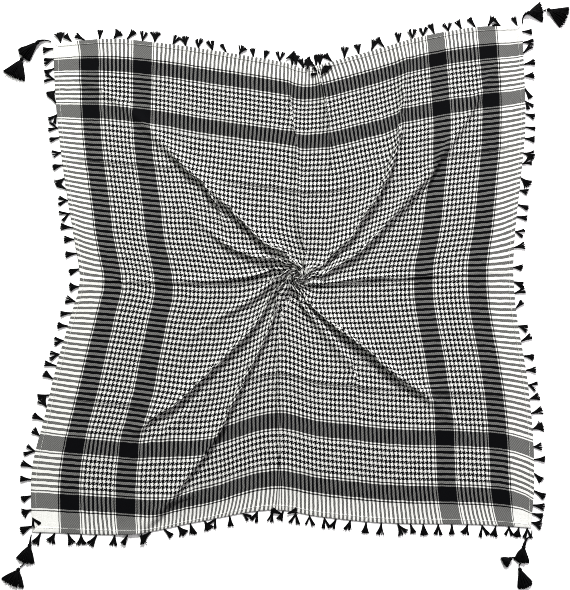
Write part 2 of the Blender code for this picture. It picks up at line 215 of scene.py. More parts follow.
class Graph:
    """A short way to write a material's nodes."""

    def __init__(self, name):
        self.material = bpy.data.materials.new(name)
        self.material.use_nodes = True
        self.nodes = self.material.node_tree.nodes
        self.links = self.material.node_tree.links
        self.shader = self.nodes["Principled BSDF"]

    def put(self, socket, value):
        if isinstance(value, bpy.types.NodeSocket):
            self.links.new(value, socket)
        else:
            socket.default_value = value

    def node(self, kind, output=0, settings=None, **inputs):
        made = self.nodes.new(kind)
        for key, value in (settings or {}).items():
            setattr(made, key, value)
        for key, value in inputs.items():
            self.put(made.inputs[key.replace("_", " ")], value)
        return made.outputs[output]

    def math(self, operation, *values, clamp=False):
        made = self.nodes.new("ShaderNodeMath")
        made.operation = operation
        made.use_clamp = clamp
        for socket, value in zip(made.inputs, values):
            self.put(socket, value)
        return made.outputs[0]

    def times(self, first, second):
        return self.math("MULTIPLY", first, second)

    def plus(self, first, second):
        return self.math("ADD", first, second)

    def less(self, value):
        """1 less the value."""
        return self.math("SUBTRACT", 1.0, value)

    def ease(self, value, low, high):
        """0 below low, 1 above high, smooth between."""
        made = self.nodes.new("ShaderNodeMapRange")
        made.interpolation_type = "SMOOTHSTEP"
        for name, number in (("Value", value), ("From Min", low), ("From Max", high)):
            self.put(made.inputs[name], number)
        return made.outputs[0]

    def mix(self, share, first, second):
        made = self.nodes.new("ShaderNodeMix")
        made.data_type = "RGBA"
        self.put(made.inputs[0], share)
        self.put(made.inputs[6], first)
        self.put(made.inputs[7], second)
        return made.outputs[2]

    def set(self, **values):
        for key, value in values.items():
            self.put(self.shader.inputs[key.replace("_", " ")], value)


# Bands of black threads, counted from the edge: (first thread, thread after the last). In a
# striped zone four threads are black and four white, from its first thread on.
WARP_BANDS = ((50, 52), (54, 90), (92, 94), (154, 156), (158, 194), (196, 198))
WARP_STRIPES = ((98, 154), (202, 496))
WEFT_BANDS = ((30, 32), (34, 56), (58, 60), (112, 114), (116, 138), (140, 142))
WEFT_STRIPES = ((64, 112), (146, 384))
REPEAT = 8

# How far the threads wander, in threads, where a yarn ends across and along it, as distances
# from its middle, and how light the thread beneath is where it shows between yarns.
WANDER = 0.75
YARN_EDGE = (0.20, 0.40)
FLOAT_END = (0.28, 0.48)
GAP_SHADE = 0.90
# In the bands: how white black crossed with white is, and how far the twill is blended.
BLEND_WHITE = 0.15
BLEND_SHARE = 0.84
SLUB_STRETCH = 0.12
WHITE_YARN = (0.700, 0.702, 0.670, 1.0)
BLACK_YARN = (0.0016, 0.0017, 0.0023, 1.0)


def black_threads(graph, count, bands, stripes):
    """1 on black threads, and 1 in the striped zones: count is the threads from the edge."""
    def within(first, end):
        return graph.math("COMPARE", count, (first + end) / 2, (end - first) / 2)

    black = 0.0
    striped = 0.0
    for first, end in bands:
        black = graph.math("MAXIMUM", black, within(first, end))
    for first, end in stripes:
        zone = within(first, end)
        turn = graph.math("FRACT", graph.math("DIVIDE", graph.math("SUBTRACT", count, first), REPEAT))
        black = graph.math("MAXIMUM", black, graph.times(zone, graph.math("LESS_THAN", turn, 0.5)))
        striped = graph.math("MAXIMUM", striped, zone)
    return black, striped


def make_weave():
    """A two-and-two twill of thick cotton yarn, worked out thread by thread on the flat cloth.
    In the bands and borders most of its contrast is blended into an even tone."""
    g = Graph("twill_weave")
    flat = g.node("ShaderNodeUVMap", settings={"uv_map": "OFBake"})
    split = g.nodes.new("ShaderNodeSeparateXYZ")
    g.put(split.inputs[0], flat)
    # The threads wander a little, so that no two repeats are quite alike.
    wander = g.node("ShaderNodeTexNoise", output="Color", settings={"noise_dimensions": "2D"},
                    Vector=flat, Scale=70.0, Detail=2.0)
    wander = g.node("ShaderNodeVectorMath", settings={"operation": "MULTIPLY_ADD"}, Vector=wander)
    aside = wander.node
    g.put(aside.inputs[1], (2 * WANDER, 2 * WANDER, 0.0))
    g.put(aside.inputs[2], (-WANDER, -WANDER, 0.0))
    shift = g.nodes.new("ShaderNodeSeparateXYZ")
    g.put(shift.inputs[0], wander)
    ends = g.math("MULTIPLY_ADD", split.outputs[0], 2 * HALF_ENDS, shift.outputs[0])
    picks = g.math("MULTIPLY_ADD", split.outputs[1], 2 * HALF_PICKS, shift.outputs[1])
    from_side = g.math("MINIMUM", ends, g.math("SUBTRACT", 2 * HALF_ENDS, ends))
    from_top = g.math("MINIMUM", picks, g.math("SUBTRACT", 2 * HALF_PICKS, picks))
    warp_black, warp_striped = black_threads(g, from_side, WARP_BANDS, WARP_STRIPES)
    weft_black, weft_striped = black_threads(g, from_top, WEFT_BANDS, WEFT_STRIPES)
    step = g.math("SUBTRACT", g.math("FLOOR", ends), g.math("FLOOR", picks))
    warp_up = g.math("LESS_THAN", g.math("FRACT", g.math("DIVIDE", step, 4.0)), 0.4)
    weft_up = g.less(warp_up)

    def choose(if_warp, if_weft):
        return g.plus(g.times(warp_up, if_warp), g.times(weft_up, if_weft))

    def from_middle(threads):
        return g.math("ABSOLUTE", g.math("SUBTRACT", g.math("FRACT", threads), 0.5))

    black_top = choose(warp_black, weft_black)
    black_under = choose(weft_black, warp_black)
    warp_off, weft_off = from_middle(ends), from_middle(picks)
    across = choose(warp_off, weft_off)
    along = choose(weft_off, warp_off)
    covered = g.times(g.less(g.ease(across, *YARN_EDGE)), g.less(g.ease(along, *FLOAT_END)))
    # Between the yarns the thread beneath shows, in shade.
    gap_white = g.times(g.less(black_under), GAP_SHADE)
    white = g.times(g.less(black_top), g.plus(covered, g.times(g.less(covered), gap_white)))
    # In the checked middle the threads lie open and crisp. In the bands they are beaten close
    # and their nap blends, so that black crossed with white reads as an even grey.
    both = g.times(g.less(black_top), g.less(black_under))
    one = g.math("ABSOLUTE", g.math("SUBTRACT", black_top, black_under))
    blended = g.math("MULTIPLY_ADD", one, BLEND_WHITE, both)
    nap = g.times(g.less(g.times(warp_striped, weft_striped)), BLEND_SHARE)
    white = g.plus(g.times(white, g.less(nap)), g.times(blended, nap))
    # Yarns are a little thick and thin along their length.
    slubs = []
    for x, y in ((g.math("FLOOR", ends), g.times(picks, SLUB_STRETCH)),
                 (g.times(ends, SLUB_STRETCH), g.math("FLOOR", picks))):
        stretch = g.node("ShaderNodeCombineXYZ", X=x, Y=y)
        slubs.append(g.node("ShaderNodeTexNoise", settings={"noise_dimensions": "2D"},
                            Vector=stretch, Scale=0.9, Detail=1.0))
    slub = choose(*slubs)
    tone = g.node("ShaderNodeMapRange", Value=slub, To_Min=0.80, To_Max=1.14)
    white = g.math("MULTIPLY", white, tone, clamp=True)
    g.set(Base_Color=g.mix(white, BLACK_YARN, WHITE_YARN), Roughness=0.86,
          Sheen_Weight=0.008, Sheen_Roughness=0.45, Specular_IOR_Level=0.04)
    round_yarn = g.less(g.times(4.0, g.math("POWER", across, 2.0)))
    height = g.times(round_yarn, g.less(g.math("POWER", along, 3.0)))
    height = g.plus(height, g.times(slub, 0.3))
    g.set(Normal=g.node("ShaderNodeBump", Height=height, Strength=0.55, Distance=0.00025))
    return g.material


def make_yarn(name, colour, shade, sheen, gloss):
    """Soft twisted yarn, with fine fibres and uneven dye."""
    g = Graph(name)
    place = g.node("ShaderNodeTexCoord", output="Object")
    dye = g.node("ShaderNodeTexNoise", Vector=place, Scale=160.0, Detail=2.0)
    fibres = g.node("ShaderNodeTexNoise", Vector=place, Scale=2600.0, Detail=3.0, Roughness=0.7)
    mottled = g.plus(g.times(dye, 0.6), g.times(fibres, 0.4))
    g.set(Base_Color=g.mix(g.ease(mottled, 0.3, 0.7), shade, colour), Roughness=0.72,
          Sheen_Weight=sheen, Sheen_Roughness=0.4, Specular_IOR_Level=gloss)
    g.set(Normal=g.node("ShaderNodeBump", Height=fibres, Strength=0.5, Distance=0.0002))
    return g.material


def make_floor_material():
    g = Graph("pale_floor")
    place = g.node("ShaderNodeTexCoord", output="Object")
    grain = g.node("ShaderNodeTexNoise", Vector=place, Scale=3.0, Detail=2.0)
    g.set(Base_Color=g.mix(grain, (0.965, 0.965, 0.965, 1.0), (0.98, 0.98, 0.98, 1.0)), Roughness=0.9)
    return g.material


# ---------------------------------------------------------------- outline and folds

def smooth_table(rows, x):
    """Smooth curve through a table of (place, value) rows."""
    xs = np.array([row[0] for row in rows], float)
    ys = np.array([row[1] for row in rows], float)
    slope = np.empty_like(ys)
    slope[1:-1] = (ys[2:] - ys[:-2]) / (xs[2:] - xs[:-2])
    slope[0] = (ys[1] - ys[0]) / (xs[1] - xs[0])
    slope[-1] = (ys[-1] - ys[-2]) / (xs[-1] - xs[-2])
    x = np.clip(x, xs[0], xs[-1])
    i = np.clip(np.searchsorted(xs, x, side="right") - 1, 0, len(xs) - 2)
    gap = xs[i + 1] - xs[i]
    t = (x - xs[i]) / gap
    return ((2 * t**3 - 3 * t**2 + 1) * ys[i] + (t**3 - 2 * t**2 + t) * gap * slope[i]
            + (3 * t**2 - 2 * t**3) * ys[i + 1] + (t**3 - t**2) * gap * slope[i + 1])


def ease(x, low, high):
    t = np.clip((x - low) / (high - low), 0, 1)
    return t * t * (3 - 2 * t)


def side_points(side, share):
    """Points on the outline of one side, at shares of the way from its first corner."""
    first, last = np.array(CORNERS[side]), np.array(CORNERS[(side + 1) % 4])
    along = (last - first) / np.linalg.norm(last - first)
    inward = np.array((-along[1], along[0]))
    depth = smooth_table(((0.0, 0.0),) + DRAWN_IN[side] + ((1.0, 0.0),), share)
    return first + (last - first) * share[:, None] + inward * depth[:, None]


def hem_distance(bearing):
    """Distance from the twist to the laid hem at each bearing, in radians."""
    points = np.concatenate([side_points(s, np.linspace(0, 1, 401)[:-1]) for s in range(4)])
    known = np.unwrap(np.arctan2(points[:, 1], points[:, 0]))
    radius = np.linalg.norm(points, axis=1)
    turned = (bearing - known[0]) % (2 * np.pi) + known[0]
    return np.interp(turned, np.r_[known, known[0] + 2 * np.pi], np.r_[radius, radius[0]])


def drawn_radius(rho):
    """Laid distance from the twist of a point that is rho from the middle of the flat cloth."""
    return DRAW_SOFTNESS * np.log1p(np.exp((rho - DRAW) / DRAW_SOFTNESS))


def curl(radius):
    """How far the twist has turned the cloth at a radius, in radians."""
    return -sum(math.radians(turn) * np.exp(-radius / reach) for turn, reach in CURLS)


# A fold fades over this share of its reach, and one that starts away from the twist grows over
# this length. The cloth gathered in all falls by GATHER_FADE between the two GATHER_RADII.
FADE_SHARE = 0.75
RISE_LENGTH = 0.10
GATHER_FADE = 0.72
GATHER_RADII = (0.08, 0.55)
# The width of a fold's foot: least, most, and the most as a share of the room that it has.
FOOT_LEAST = 0.006
FOOT_MOST = 0.014
FOOT_ROOM = 0.42


def fold_tables():
    """For each fold, by distance from the middle of the flat cloth: its laid bearing, the length
    of cloth that it hides, the width of its foot, and its bearing on the flat cloth."""
    rho = np.linspace(1e-4, 0.86, 700)
    radius = drawn_radius(rho)
    bearing = np.radians([smooth_table(tuple(zip(BEARING_RADII, fold[1:5])), radius) for fold in FOLDS])
    grow = np.empty_like(bearing)
    for k, fold in enumerate(FOLDS):
        fade = np.clip((fold[REACH] - radius) / (fold[REACH] * FADE_SHARE), 0, 1)
        rise = np.clip((radius - fold[START]) / RISE_LENGTH, 0, 1) if fold[START] > 0 else 1.0
        grow[k] = fold[SHARE] * fade * rise
    loss = 2 * np.pi * DRAW * (1 - GATHER_FADE * ease(radius, *GATHER_RADII))
    hidden = np.minimum(loss, 2 * np.pi * (rho - radius) * 0.98) * grow / grow.sum(0)
    gap = np.diff(np.r_[bearing, bearing[:1] + 2 * np.pi], axis=0)
    room = np.minimum(gap, np.roll(gap, 1, axis=0)) * radius
    foot = np.minimum(FOOT_LEAST + 0.5 * np.minimum(hidden, 0.02), FOOT_ROOM * room)
    foot = np.minimum(foot, FOOT_MOST)
    gap_length = gap * radius + (hidden + np.roll(hidden, -1, axis=0)) / 2
    flat_gap = gap_length / gap_length.sum(0) * 2 * np.pi
    crest = np.cumsum(np.r_[np.zeros((1, len(rho))), flat_gap[:-1]], axis=0)
    crest += (bearing - crest).mean(0)
    return {"rho": rho, "radius": radius, "bearing": bearing, "hidden": hidden, "foot": foot,
            "crest": crest}


# The tallest that a fold stands near the twist, and how much more farther out. Within
# TWIST_REACH all folds lean as the twist does, and beyond OUTLINE_START the outline draws in.
FOLD_HEIGHT = 0.016
FOLD_EXTRA = 0.006
TWIST_REACH = 0.05
OUTLINE_START = 0.14


def place_cloth(u, v, tables):
    """Gather the flat points (u, v) into the folds. Returns their places, the fold that each is
    on or -1, how far it is from that fold's crest (0 to 1), and its laid radius."""
    rho = np.hypot(u, v)
    flat_bearing = np.arctan2(v, u)
    n = len(FOLDS)
    read = {name: np.array([np.interp(rho, tables["rho"], tables[name][k]) for k in range(n)])
            for name in ("crest", "bearing", "hidden", "foot")}
    turned = (flat_bearing - read["crest"][0]) % (2 * np.pi)
    start = read["crest"] - read["crest"][0]
    k = np.clip((turned >= start).sum(0) - 1, 0, n - 1)
    after = (k + 1) % n
    i = np.arange(len(u))
    wrap = np.where(after == 0, 2 * np.pi, 0.0)
    first, last = start[k, i], np.where(after == 0, 2 * np.pi, start[after, i])
    laid_first, laid_last = read["bearing"][k, i], read["bearing"][after, i] + wrap
    radius = np.maximum(drawn_radius(rho), 1e-4)
    half_first = (read["hidden"][k, i] + read["foot"][k, i]) / 2
    half_last = (read["hidden"][after, i] + read["foot"][after, i]) / 2
    foot_first, foot_last = read["foot"][k, i] / 2, read["foot"][after, i] / 2
    to_first, to_last = (turned - first) * rho, (last - turned) * rho
    open_gap = np.maximum((last - first) * rho - half_first - half_last, 1e-6)
    edge_first, edge_last = laid_first + foot_first / radius, laid_last - foot_last / radius
    on_first, on_last = to_first < half_first, to_last < half_last
    off_first = np.clip(to_first / half_first, 0, 1)
    off_last = np.clip(to_last / half_last, 0, 1)
    between = edge_first + (edge_last - edge_first) * np.clip((to_first - half_first) / open_gap, 0, 1)
    bearing = np.where(on_first, laid_first + off_first * foot_first / radius,
                       np.where(on_last, laid_last - off_last * foot_last / radius, between))
    fold = np.where(on_first, k, np.where(on_last, after, -1))
    off = np.where(on_first, off_first, np.where(on_last, off_last, 1.0))
    half = np.where(on_first, half_first, half_last)
    foot_half = np.where(on_first, foot_first, foot_last)
    tall = np.sqrt(np.maximum(half**2 - foot_half**2, 0)) * 0.92
    tall = np.minimum(tall, FOLD_HEIGHT + FOLD_EXTRA * ease(radius, 0.03, 0.12))
    height = np.where(off >= 1, 0, tall * np.cos(off * np.pi / 2) ** 1.3)
    lean = np.radians(np.array([row[LEAN] for row in FOLDS] + [0.0])[fold])
    lean = lean + (math.radians(TWIST_LEAN) - lean) * np.exp(-(radius / TWIST_REACH) ** 2)
    # Beyond the twist each column is drawn in by what the outline shows at its bearing.
    flat_hem = np.minimum(HALF_U / np.maximum(np.abs(np.cos(flat_bearing)), 1e-9),
                          HALF_V / np.maximum(np.abs(np.sin(flat_bearing)), 1e-9))
    share = np.clip((rho - OUTLINE_START) / (flat_hem - OUTLINE_START), 0, 1)
    radius_out = radius + share * (DRAW - (flat_hem - hem_distance(bearing)))
    angle = bearing + curl(radius_out) - np.sin(lean) * height / np.maximum(radius_out, 0.006)
    knob = (KNOB_HEIGHT * np.exp(-(radius / KNOB_RADIUS) ** 2.4)
            - EYE_DEPTH * np.exp(-(radius / EYE_RADIUS) ** 2))
    z = height * np.cos(lean) * (1 - 0.25 * np.exp(-(radius / 0.010) ** 2)) + knob
    return (np.stack([radius_out * np.cos(angle), radius_out * np.sin(angle), z], -1),
            fold, off, radius_out)


# ---------------------------------------------------------------- relaxing the cloth

def spaced(half):
    """Places from -half to half, closer together near the middle."""
    places = [0.0]
    while places[-1] < half:
        t = min(max((places[-1] - FINE_REACH) / GRADE_REACH, 0), 1)
        places.append(places[-1] + FINE_STEP + (COARSE_STEP - FINE_STEP) * t)
    places = np.array(places) * half / places[-1]
    return np.r_[-places[:0:-1], places]


def pull_pairs(first, last, free_first, free_last, rest, stiffness):
    """Move the ends of threads towards the threads' own length."""
    gap = last - first
    length = np.sqrt(np.einsum("...i,...i", gap, gap)) + 1e-12
    gap *= ((length - rest) / length / (free_first + free_last + 1e-9) * stiffness)[..., None]
    first += gap * free_first[..., None]
    last -= gap * free_last[..., None]


def rest_steps(us, vs):
    """The length of each step between threads. The cloth has tightened near two of its hems."""
    u, v = (us[1:] + us[:-1]) / 2, (vs[1:] + vs[:-1]) / 2
    return (np.diff(us) * (1 - 0.04 * ease(-u, 0.38, 0.50)),
            np.diff(vs) * (1 - 0.09 * ease(v, 0.38, 0.46)))


SHEAR = 0.08
BEND = 0.06
WEIGHT = 2e-5
PINNED_RADIUS = 0.075


def relax(points, us, vs, low, high, rounds, glide, anchors):
    """Let the threads find their own length, on the floor, between the heights low and high."""
    du, dv = rest_steps(us, vs)
    nu, nv = len(us), len(vs)
    free = np.where(np.hypot(us[:, None], vs[None]) < PINNED_RADIUS, 0.0, 1.0)
    hold_hems = hem_holder(nu, nv)
    i, j, across, target = anchors
    before = points.copy()
    for turn in range(rounds):
        step = (points - before) * glide * free[..., None]
        before = points.copy()
        points += step
        points[..., 2] -= WEIGHT * free
        for o in (0, 1):
            n, m = len(du[o::2]), len(dv[o::2])
            pull_pairs(points[o:nu-1:2][:n], points[o+1:nu:2][:n],
                       free[o:nu-1:2][:n], free[o+1:nu:2][:n], du[o::2][:, None], 1.0)
            pull_pairs(points[:, o:nv-1:2][:, :m], points[:, o+1:nv:2][:, :m],
                       free[:, o:nv-1:2][:, :m], free[:, o+1:nv:2][:, :m], dv[o::2][None], 1.0)
        o = turn % 2
        n = len(du[o::2])
        rest = np.sqrt(du[o::2][:, None] ** 2 + dv[None] ** 2)
        pull_pairs(points[o:nu-1:2, :nv-1][:n], points[o+1:nu:2, 1:][:n],
                   free[o:nu-1:2, :nv-1][:n], free[o+1:nu:2, 1:][:n], rest, SHEAR)
        pull_pairs(points[o:nu-1:2, 1:][:n], points[o+1:nu:2, :nv-1][:n],
                   free[o:nu-1:2, 1:][:n], free[o+1:nu:2, :nv-1][:n], rest, SHEAR)
        even = (points[:-2] + points[2:]) * 0.5 - points[1:-1]
        points[1:-1] += even * (BEND * free[1:-1])[..., None]
        even = (points[:, :-2] + points[:, 2:]) * 0.5 - points[:, 1:-1]
        points[:, 1:-1] += even * (BEND * free[:, 1:-1])[..., None]
        points[..., 2] = np.where(free > 0, np.clip(points[..., 2], low, high), points[..., 2])
        off = ((target - points[i, j, :2]) * across).sum(-1) * 0.4
        points[i, j, :2] += across * off[:, None]
        if turn % 3 == 0:
            hold_hems(points)
    return points


def hem_holder(nu, nv):
    """A function that moves the edges of the cloth towards the outline, and its corners onto it."""
    edges = ((np.arange(nu - 1, -1, -1), np.full(nu, nv - 1)),
             (np.zeros(nv, int), np.arange(nv - 1, -1, -1)),
             (np.arange(nu), np.zeros(nu, int)),
             (np.full(nv, nu - 1), np.arange(nv)))
    outline = [side_points(s, np.linspace(0, 1, 501)) for s in range(4)]

    def hold_hems(points):
        for s, (i, j) in enumerate(edges):
            now = points[i, j, :2]
            nearest = ((now[:, None] - outline[s][None]) ** 2).sum(-1).argmin(1)
            points[i, j, :2] = now + (outline[s][nearest] - now) * 0.6
            points[i[0], j[0]] = (*CORNERS[s], 0.0)

    return hold_hems


def crest_anchors(points, fold, off, radius, tables):
    """The points on the crests, with the direction across the fold in which each is held."""
    found = []
    for k, row in enumerate(FOLDS):
        held = ((fold == k) & (off < 0.18) & (radius > max(0.045, row[START] + 0.03))
                & (radius < row[REACH] * 0.93))
        i, j = np.nonzero(held)
        ends = []
        for r in (radius[held] - 0.004, radius[held] + 0.004):
            angle = np.interp(r, tables["radius"], tables["bearing"][k]) + curl(r)
            ends.append(np.stack([r * np.cos(angle), r * np.sin(angle)], -1))
        along = ends[1] - ends[0]
        along /= np.linalg.norm(along, axis=1, keepdims=True)
        found.append((i, j, np.stack([-along[:, 1], along[:, 0]], 1), points[i, j, :2]))
    return tuple(np.concatenate(part) for part in zip(*found))


def every_other(places):
    """Indices of every other place, with the middle and both ends."""
    middle = len(places) // 2
    kept = np.r_[np.arange(middle, -1, -2), np.arange(middle, len(places), 2), 0, len(places) - 1]
    return np.unique(kept)


def spread(values, cu, cv, us, vs):
    """Values on a coarse grid, read on the full grid."""
    def along_first(array, old, new):
        i = np.clip(np.searchsorted(old, new) - 1, 0, len(old) - 2)
        t = ((new - old[i]) / (old[i + 1] - old[i]))[:, None, None]
        return array[i] * (1 - t) + array[i + 1] * t
    rows = along_first(values, cu, us)
    return along_first(rows.swapaxes(0, 1), cv, vs).swapaxes(0, 1)


def local_top(z, reach=3, blurs=4):
    """The highest value near each point, blurred."""
    for axis in (0, 1):
        top = z.copy()
        for shift in range(1, reach + 1):
            top = np.maximum(top, np.roll(z, shift, axis))
            top = np.maximum(top, np.roll(z, -shift, axis))
        z = top
    for _ in range(blurs):
        for axis in (0, 1):
            z = (np.roll(z, 1, axis) + 2 * z + np.roll(z, -1, axis)) / 4
    return z


# Pleats that wind into the twist: their number, height, reach, and how fast they wind.
PLEATS = 5
PLEAT_HEIGHT = 0.0080
PLEAT_RADIUS = 0.021
PLEAT_WIDTH = 0.019
PLEAT_WIND = 1.5
EYE_TURN = math.radians(125)
EYE_TURN_REACH = 0.020
# The crown of the knob, and the rim and the sink of its eye, as (height, radius, width).
CROWN = (0.0060, 0.0, 0.020)
RIM = (0.0030, 0.0085, 0.0035)
SINK = (-0.0050, 0.0, 0.0050)
KNOB_SHIFT = (0.012, 0.002)
SHIFT_REACH = 0.085


def rounded(radius, height, middle, width):
    """A height that falls off smoothly on both sides of a radius."""
    return height * np.exp(-((radius - middle) / width) ** 2)


def wind_pleats(points):
    """Turn the cloth tighter close to the eye, and raise the pleats that wind clockwise into it."""
    radius = np.maximum(np.hypot(points[..., 0], points[..., 1]), 1e-4)
    bearing = np.arctan2(points[..., 1], points[..., 0])
    bearing = bearing - rounded(radius, EYE_TURN, 0.0, EYE_TURN_REACH)
    points[..., 0] = radius * np.cos(bearing)
    points[..., 1] = radius * np.sin(bearing)
    turn = bearing - PLEAT_WIND * np.log(radius / PLEAT_RADIUS)
    ridge = (0.5 + 0.5 * np.cos(PLEATS * turn)) ** 1.4
    uneven = 1 + 0.30 * np.sin(2 * turn + 0.7) + 0.20 * np.sin(3 * turn)
    share = rounded(radius, 1.0, PLEAT_RADIUS, PLEAT_WIDTH)
    points[..., 2] *= 1 - 0.55 * np.exp(-(radius / 0.026) ** 4)
    points[..., 2] += PLEAT_HEIGHT * ridge * uneven * share
    points[..., 2] += sum(rounded(radius, *form) for form in (CROWN, RIM, SINK))
    points[..., 2] = np.maximum(points[..., 2], 0.0)
    points[..., :2] += np.array(KNOB_SHIFT) * rounded(radius, 1.0, 0.0, SHIFT_REACH)[..., None]


# Cells of the grid that are moved with a hem, steps along its outline, and smoothing passes
# along the hem and within it.
HEM_CELLS = 12
OUTLINE_STEPS = 1000
ALONG_PASSES = 80
WITHIN_PASSES = 60


def settle_hems(points, us, vs):
    """Straighten the hems onto the outline, and even out the cloth just within them."""
    for side in range(4):
        outline = side_points(side, np.linspace(0, 1, OUTLINE_STEPS + 1))
        grid = points.swapaxes(0, 1) if side in (0, 2) else points
        flat = us if side in (0, 2) else vs
        rows = grid[::-1] if side in (0, 3) else grid
        if side in (0, 1):
            rows, flat = rows[:, ::-1], flat[::-1]
        now = rows[0, :, :2].copy()
        even = (flat - flat[0]) / (flat[-1] - flat[0]) * OUTLINE_STEPS
        uneven = ((now[:, None] - outline[None]) ** 2).sum(-1).argmin(1) - even
        for _ in range(ALONG_PASSES):
            uneven[1:-1] = (uneven[:-2] + 2 * uneven[1:-1] + uneven[2:]) / 4
        steps = np.arange(OUTLINE_STEPS + 1)
        target = np.stack([np.interp(even + uneven, steps, outline[:, k]) for k in (0, 1)], -1)
        for depth in range(HEM_CELLS):
            rows[depth, :, :2] += (target - now) * (1 - depth / HEM_CELLS) ** 2
    i, j = np.indices(points.shape[:2])
    depth = np.minimum(np.minimum(i, len(us) - 1 - i), np.minimum(j, len(vs) - 1 - j))
    share = np.clip(1 - depth / (HEM_CELLS + 2), 0, 1)[1:-1, 1:-1, None]
    for _ in range(WITHIN_PASSES):
        middle = (points[:-2, 1:-1] + points[2:, 1:-1] + points[1:-1, :-2] + points[1:-1, 2:]) / 4
        points[1:-1, 1:-1, :2] += (middle - points[1:-1, 1:-1])[..., :2] * share * 0.6


CORNER_CELLS = 9


def smooth_corner(points, us, vs):
    """Lay the corner at the start of the grid evenly between its hems and the cloth within."""
    n = CORNER_CELLS
    s = ((us[:n + 1] - us[0]) / (us[n] - us[0]))[:, None, None]
    t = ((vs[:n + 1] - vs[0]) / (vs[n] - vs[0]))[None, :, None]
    tip, end_u, end_v, inner = points[0, 0], points[n, 0], points[0, n], points[n, n]
    hem_u, hem_v = tip + (end_u - tip) * s, tip + (end_v - tip) * t
    within_u, within_v = points[None, n, :n + 1], points[:n + 1, n, None]
    flat = ((1 - s) * ((1 - t) * tip + t * end_v) + s * ((1 - t) * end_u + t * inner))
    points[:n + 1, :n + 1] = (1 - s) * hem_v + s * within_u + (1 - t) * hem_u + t * within_v - flat


# The heights that relax() keeps the cloth between, against those of place_cloth(), and its
# rounds and glide on the coarse and on the full grid.
LOW_SHARE = 0.64
HIGH_SHARE = 1.1
HEADROOM = 0.001
COARSE_ROUNDS, COARSE_GLIDE = 900, 0.9
FINE_ROUNDS, FINE_GLIDE = 250, 0.8


def lay_cloth():
    """The laid cloth as a grid of points, with the flat places of its columns and rows."""
    us, vs = spaced(HALF_U), spaced(HALF_V)
    tables = fold_tables()
    grid_u, grid_v = np.meshgrid(us, vs, indexing="ij")
    shape = grid_u.shape
    placed, fold, off, radius = place_cloth(grid_u.ravel(), grid_v.ravel(), tables)
    placed = placed.reshape(*shape, 3)
    fold, off, radius = fold.reshape(shape), off.reshape(shape), radius.reshape(shape)
    low = LOW_SHARE * placed[..., 2]
    high = HEADROOM + HIGH_SHARE * local_top(placed[..., 2])

    def anchors(pick):
        return crest_anchors(placed[pick], fold[pick], off[pick], radius[pick], tables)

    pick_u, pick_v = every_other(us), every_other(vs)
    pick = np.ix_(pick_u, pick_v)
    cu, cv = us[pick_u], vs[pick_v]
    coarse = relax(placed[pick].copy(), cu, cv, low[pick], high[pick],
                   COARSE_ROUNDS, COARSE_GLIDE, anchors(pick))
    moved = spread(coarse - placed[pick], cu, cv, us, vs)
    whole = np.ix_(range(len(us)), range(len(vs)))
    points = relax(placed + moved, us, vs, low, high, FINE_ROUNDS, FINE_GLIDE, anchors(whole))
    wind_pleats(points)
    settle_hems(points, us, vs)
    for flip_u in (1, -1):
        for flip_v in (1, -1):
            smooth_corner(points[::flip_u, ::flip_v], us[::flip_u], vs[::flip_v])
    return points, us, vs


# Creases that run across the cloth: flat height, length of cloth between its strong stretches,
# and those stretches as (middle, half length, height).
CROSS_CREASES = (
    (0.278, ((-0.43, 0.14, 0.0015), (-0.02, 0.17, 0.0018), (0.47, 0.10, 0.0015))),
    (-0.297, ((-0.45, 0.12, 0.0014), (0.08, 0.19, 0.0018), (0.43, 0.11, 0.0015))),
)
CREASE_ROWS = (-0.0050, -0.0034, -0.0022, -0.0012, 0.0, 0.0014, 0.0034)


def add_rows(points, vs):
    """More rows of points along the creases that run across, so that they can be sharp."""
    extra = [middle + step for middle, _ in CROSS_CREASES for step in CREASE_ROWS]
    kept = [v for v in vs if min(abs(v - e) for e in extra) > 0.0006 or abs(v) > HALF_V - 0.001]
    places = np.array(sorted(kept + extra))
    j = np.clip(np.searchsorted(vs, places) - 1, 0, len(vs) - 2)
    t = ((places - vs[j]) / (vs[j + 1] - vs[j]))[None, :, None]
    return points[:, j] * (1 - t) + points[:, j + 1] * t, places


def press_creases(points, us, vs):
    """The creases of a cloth that was stored folded in quarters, and slight unevenness."""
    u, v = us[:, None], vs[None]
    away = ease(np.hypot(u, v), 0.10, 0.22)
    lift = np.zeros(points.shape[:2])
    for middle, phase in ((HALF_U / 2, 0.4), (-HALF_U / 2, 2.1)):
        uneven = 0.55 + 0.30 * np.sin(9.0 * v + phase) + 0.15 * np.sin(23.0 * v + 2 * phase)
        lift = lift + 0.0018 * uneven * np.exp(-np.abs(u - middle) / 0.008)
    for middle, stretches in CROSS_CREASES:
        height = 0.0004 + 0 * u
        for centre, half, tall in stretches:
            height = height + tall * (1 - ease(np.abs(u - centre), 0.6 * half, 1.15 * half))
        off = v - middle - 0.0006 * np.sin(31.0 * u)
        lift = lift + height * np.where(off > 0, np.exp(-off / 0.011), np.exp(off / 0.0016))
    for waves_u, waves_v, phase in ((11.0, 17.0, 0.3), (23.0, -9.0, 1.9), (-16.0, 27.0, 4.0)):
        lift = lift + 0.00035 * (1 + np.sin(waves_u * u + waves_v * v + phase))
    hem_gap = np.minimum(HALF_U - np.abs(u), HALF_V - np.abs(v))
    points[..., 2] *= 0.25 + 0.75 * ease(hem_gap, 0.0, 0.06)
    points[..., 2] += lift * away * ease(hem_gap, 0.0, 0.05)
    points[..., 2] += CLOTH_THICK * 0.7 + HEM_LIFT * (1 - ease(hem_gap, HEM_WIDTH, 2.5 * HEM_WIDTH))
    return points


# ---------------------------------------------------------------- meshes

def grid_normals(points):
    across = np.cross(np.gradient(points, axis=0), np.gradient(points, axis=1))
    return across / (np.linalg.norm(across, axis=-1, keepdims=True) + 1e-12)


